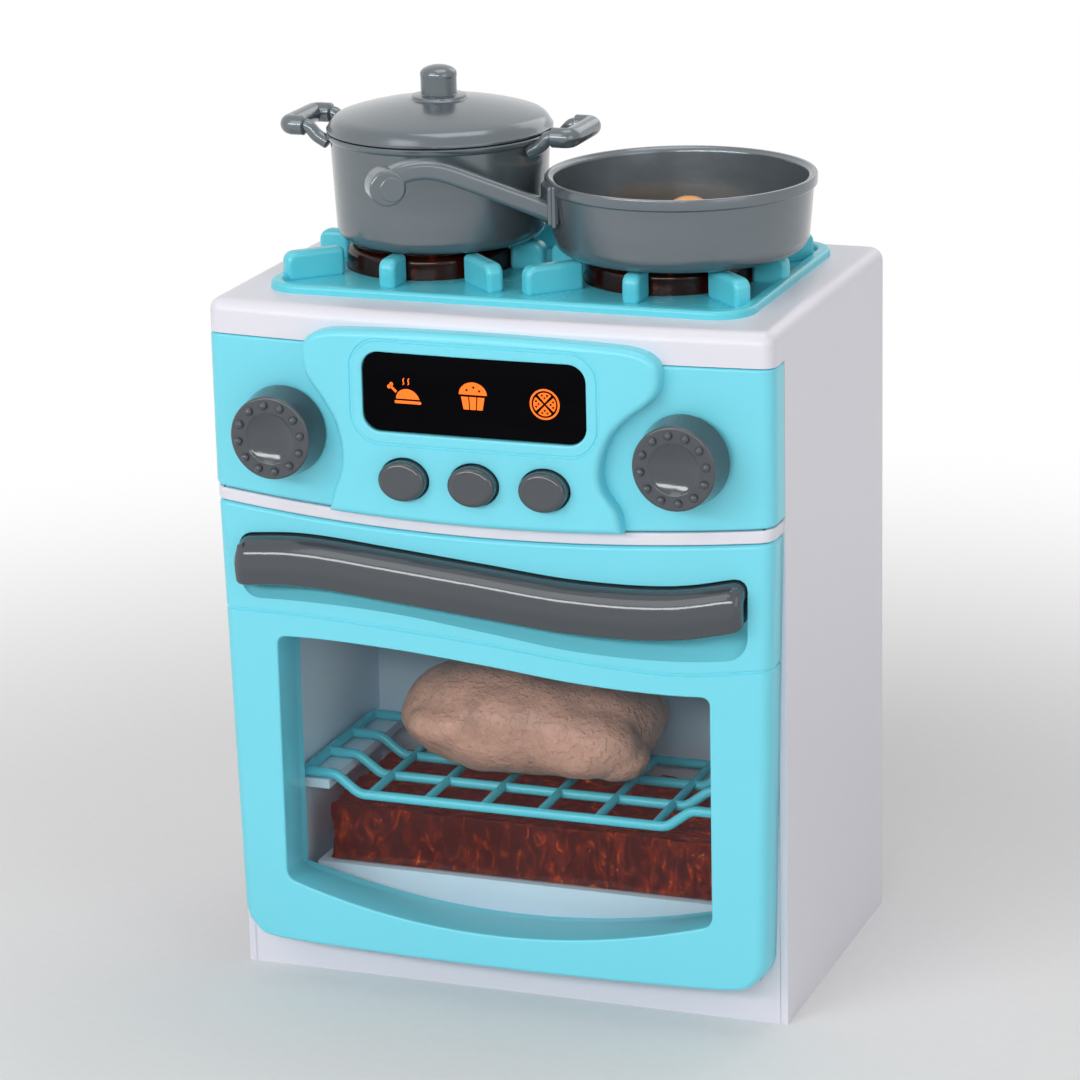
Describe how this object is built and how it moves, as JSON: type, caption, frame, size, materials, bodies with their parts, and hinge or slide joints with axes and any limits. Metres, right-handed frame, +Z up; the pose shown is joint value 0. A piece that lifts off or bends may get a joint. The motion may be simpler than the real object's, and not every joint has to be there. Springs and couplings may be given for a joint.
{
  "type": "toy oven",
  "caption": "Play-kitchen oven with a drop-down door, pull-out rack, turning knobs, push buttons and a lit hob with a lidded pot and a frying pan.",
  "frame": {"origin": "middle of the casing's flat underside", "axes": "+X to the right seen from the front, +Y to the back, +Z up"},
  "size_m": [0.18, 0.1391, 0.2834],
  "materials": {
    "white": "satin",
    "turquoise": "gloss",
    "hob_turquoise": "gloss",
    "graphite": "gloss",
    "display_black": "gloss",
    "amber": "gloss",
    "silver": "satin",
    "clear": "gloss",
    "interior": "matte",
    "roast_brown": "satin",
    "egg_white": "satin",
    "yolk": "gloss",
    "steel": "satin",
    "board": "matte",
    "rubber": "matte",
    "cell": "satin",
    "black": "matte"
  },
  "bodies": {
    "casing": {"body_shell": "white", "base_plate": "white", "rear_cover": "white", "hob_cap": "white", "hob_plate": "hob_turquoise", "burner_lens_left": "amber", "burner_lens_right": "amber", "light_carrier_left": "black", "light_carrier_right": "black", "burner_light_left": "board", "burner_light_right": "board", "control_panel": "turquoise", "display_window": "display_black", "main_board": "board", "key_mat": "rubber", "cavity_liner": "interior", "glow_bed": "amber", "glow_lights": "board", "battery_1": "cell", "battery_2": "cell", "battery_3": "cell", "contact_plate_left": "steel", "contact_plate_right": "steel", "speaker": "black", "speaker_clamp": "black", "switch_housing": "black", "rear_screw_1": "steel", "rear_screw_2": "steel", "rear_screw_3": "steel", "rear_screw_4": "steel"},
    "left_knob": {"knob_left": "graphite", "knob_clip_left": "steel"},
    "right_knob": {"knob_right": "graphite", "knob_clip_right": "steel"},
    "left_button": {"button_left": "graphite"},
    "middle_button": {"button_middle": "graphite"},
    "right_button": {"button_right": "graphite"},
    "door": {"door_frame": "turquoise", "door_inner_frame": "turquoise", "door_window": "clear", "door_handle": "graphite", "hinge_pin_left": "steel", "hinge_pin_right": "steel"},
    "oven_rack": {"rack": "hob_turquoise"},
    "roast_piece": {"roast": "roast_brown"},
    "cooking_pot": {"pot": "silver"},
    "lid": {"pot_lid": "silver"},
    "frying_pan": {"pan": "silver", "pan_handle": "silver"},
    "fried_egg": {"egg_white": "egg_white", "egg_yolk": "yolk"},
    "battery_lid": {"battery_cover": "white", "battery_screw": "steel"},
    "slide_switch": {"power_switch": "black"}
  },
  "joints": [
    {"name": "door_hinge", "type": "hinge", "parent": "casing", "child": "door", "pos_m": [0, -0.056, 0.0185], "axis": [1, 0, 0], "range_deg": [0, 80]},
    {"name": "rack_slide", "type": "slide", "parent": "casing", "child": "oven_rack", "axis": [0, -1, 0], "range_m": [0, 0.045]},
    {"name": "roast_lift", "type": "slide", "parent": "oven_rack", "child": "roast_piece", "axis": [0, 0, 1], "range_m": [0, 0.015]},
    {"name": "knob_left_turn", "type": "hinge", "parent": "casing", "child": "left_knob", "pos_m": [-0.064, -0.07, 0.182], "axis": [0, 1, 0], "continuous": true},
    {"name": "knob_right_turn", "type": "hinge", "parent": "casing", "child": "right_knob", "pos_m": [0.064, -0.07, 0.182], "axis": [0, 1, 0], "continuous": true},
    {"name": "button_left_press", "type": "slide", "parent": "casing", "child": "left_button", "axis": [0, 1, 0], "range_m": [0, 0.002], "stiffness_N_per_m": 250},
    {"name": "button_middle_press", "type": "slide", "parent": "casing", "child": "middle_button", "axis": [0, 1, 0], "range_m": [0, 0.002], "stiffness_N_per_m": 250},
    {"name": "button_right_press", "type": "slide", "parent": "casing", "child": "right_button", "axis": [0, 1, 0], "range_m": [0, 0.002], "stiffness_N_per_m": 250},
    {"name": "pot_lift", "type": "slide", "parent": "casing", "child": "cooking_pot", "axis": [0, 0, 1], "range_m": [0, 0.03]},
    {"name": "lid_lift", "type": "slide", "parent": "cooking_pot", "child": "lid", "axis": [0, 0, 1], "range_m": [0, 0.02]},
    {"name": "pan_slide", "type": "slide", "parent": "casing", "child": "frying_pan", "axis": [1, 0, 0], "range_m": [0, 0.014]},
    {"name": "egg_lift", "type": "slide", "parent": "frying_pan", "child": "fried_egg", "axis": [0, 0, 1], "range_m": [0, 0.025]},
    {"name": "battery_cover_off", "type": "slide", "parent": "casing", "child": "battery_lid", "axis": [0, 1, 0], "range_m": [0, 0.02]},
    {"name": "switch_slide", "type": "slide", "parent": "casing", "child": "slide_switch", "axis": [1, 0, 0], "range_m": [0, 0.004]}
  ],
  "couplings": [
    {"joint": "rack_slide", "follows": "door_hinge", "m_per_rad": 0.0322}
  ]
}
